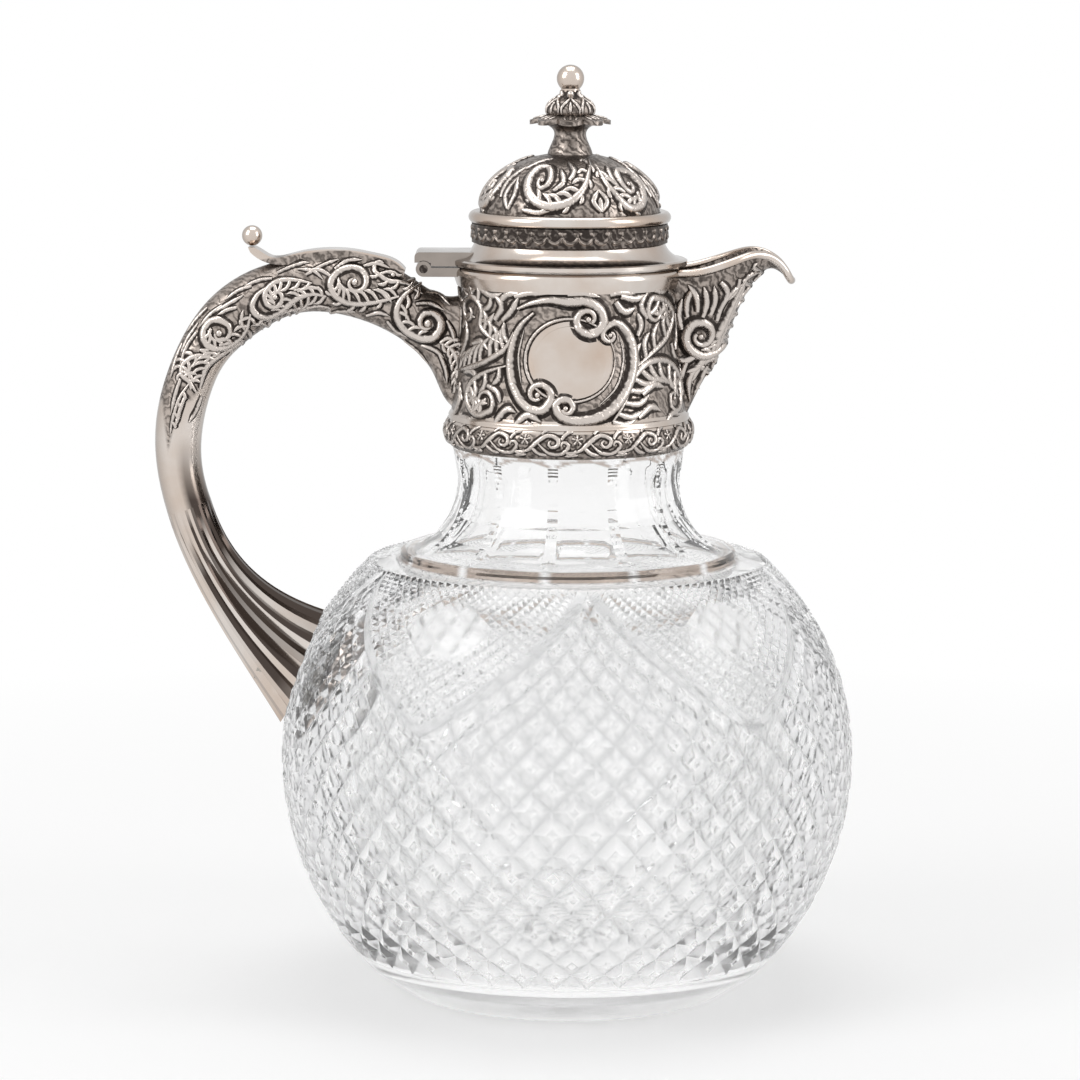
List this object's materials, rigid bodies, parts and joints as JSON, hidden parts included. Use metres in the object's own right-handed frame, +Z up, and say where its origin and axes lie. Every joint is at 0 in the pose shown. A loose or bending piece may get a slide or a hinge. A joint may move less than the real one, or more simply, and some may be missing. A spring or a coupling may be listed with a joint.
{
  "type": "claret jug",
  "caption": "Globe-shaped cut-glass claret jug with a chased silver collar, beak spout, scroll handle and a hinged domed lid with a leaf finial.",
  "frame": {"origin": "centre of the flat base, on the table", "axes": "+Z up, +X towards the spout, -X towards the handle and hinge, -Y towards the vacant cartouche"},
  "size_m": [0.1732, 0.1422, 0.2287],
  "materials": {
    "cut_glass": "clear, wheel-cut and polished",
    "plaster": "matt, buried bedding",
    "silver_chased": "chased silver, polished highs over dark oxidised recesses",
    "silver_plain": "plain polished silver"
  },
  "bodies": {
    "jug": {"glass_body": "cut_glass", "neck_cement": "plaster", "collar_wall": "silver_chased", "collar_base_ring": "silver_chased", "collar_rim": "silver_plain", "spout": "silver_chased", "spout_edge": "silver_plain", "handle": "silver_chased", "handle_cement": "plaster", "thumb_strap": "silver_plain", "thumb_ball": "silver_plain", "hinge_lug": "silver_plain", "hinge_pin": "silver_plain"},
    "lid": {"hinge_leaf": "silver_plain", "lid_base": "silver_chased", "lid_border_band": "silver_chased", "lid_bead": "silver_plain", "lid_dome": "silver_chased", "lid_bezel": "silver_plain", "finial_stem": "silver_chased", "finial_leaf_disc": "silver_chased", "finial_leaf_cup": "silver_chased", "finial_ball": "silver_plain", "finial_stud": "silver_plain", "finial_nut": "silver_plain"}
  },
  "joints": [
    {"name": "lid_hinge", "type": "hinge", "parent": "jug", "child": "lid", "pos_m": [-0.0356, 0, 0.1793], "axis": [0, -1, 0], "range_deg": [0, 95]}
  ]
}
